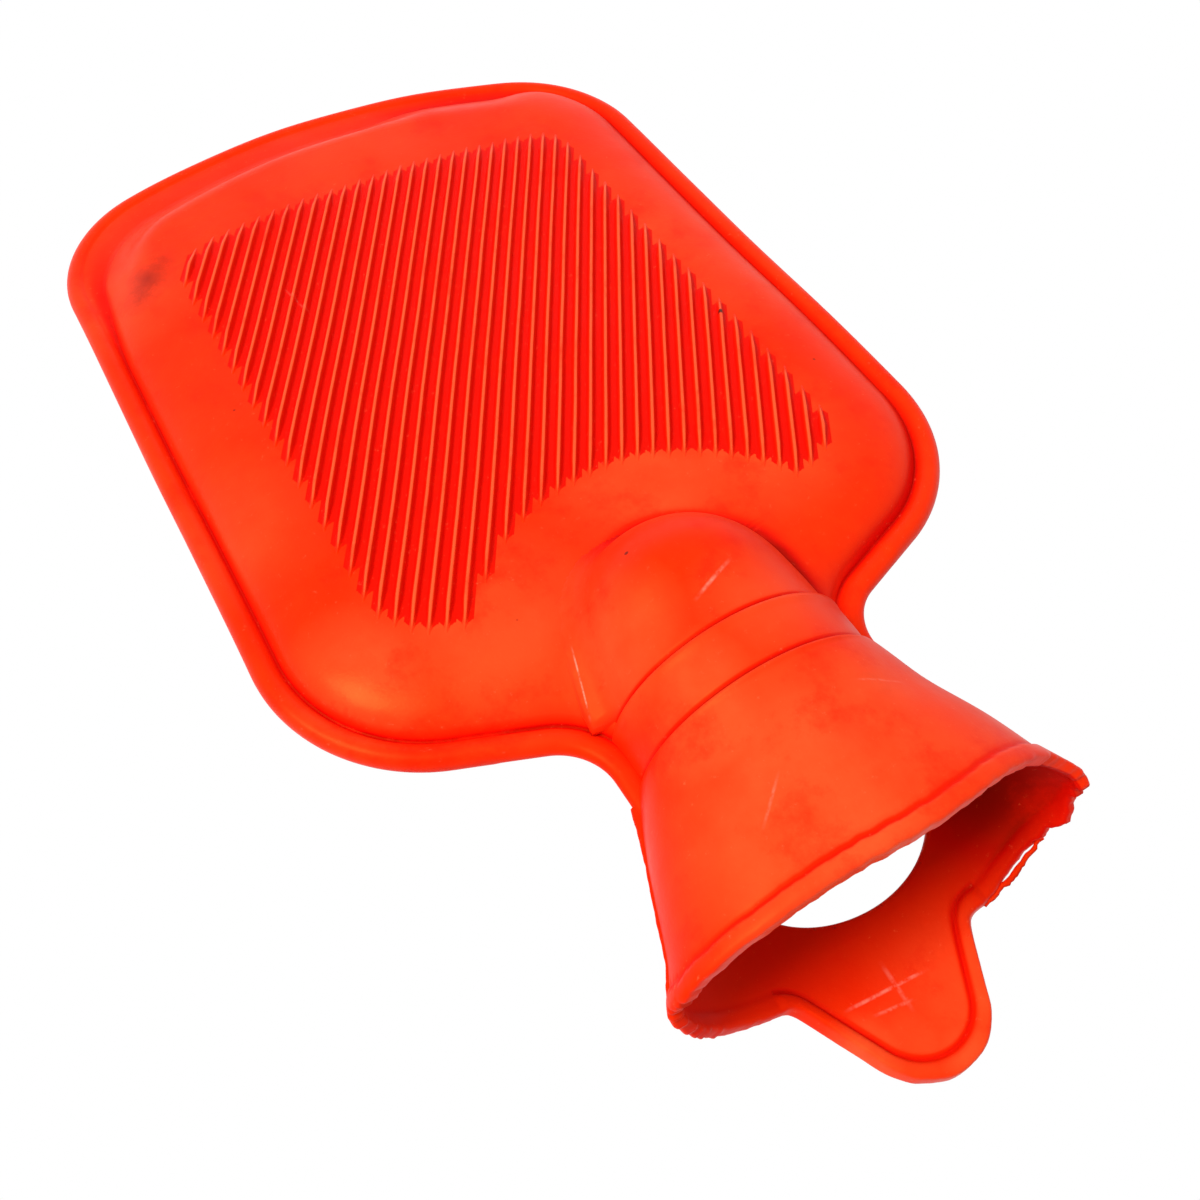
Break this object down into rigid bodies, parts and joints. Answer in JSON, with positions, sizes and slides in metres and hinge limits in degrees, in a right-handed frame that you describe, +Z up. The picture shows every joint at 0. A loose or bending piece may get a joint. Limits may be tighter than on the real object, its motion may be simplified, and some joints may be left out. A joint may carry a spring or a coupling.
{
  "type": "hot water bottle",
  "caption": "Flat rubber hot water bottle with a slant-ribbed face, rounded rim, stepped neck, wide pouring funnel with a hanging tab, threaded bush and screw stopper.",
  "frame": {"origin": "floor point under the middle of the bottle's bounding box, with the bottle lying on its back", "axes": "+Y along the bottle's length from the mouth to the far end, +Z up out of the ribbed face, +X across the bottle"},
  "size_m": [0.156, 0.2882, 0.0502],
  "materials": {
    "rubber": "satin",
    "brass": "satin",
    "seal": "matte",
    "stopper": "satin"
  },
  "bodies": {
    "bottle": {"bottle": "rubber", "neck_bush": "brass"},
    "washer": {"washer": "seal"},
    "stopper": {"stopper": "stopper"}
  },
  "joints": [
    {"name": "stopper_travel", "type": "slide", "parent": "bottle", "child": "washer", "axis": [0, -0.9962, 0.0871], "range_m": [0, 0.012]},
    {"name": "stopper_turn", "type": "hinge", "parent": "washer", "child": "stopper", "pos_m": [0, -0.08673, 0.02574], "axis": [0, -0.9962, 0.0871], "range_deg": [0, 1440]}
  ],
  "couplings": [
    {"joint": "stopper_travel", "follows": "stopper_turn", "m_per_rad": 0.00047746}
  ]
}
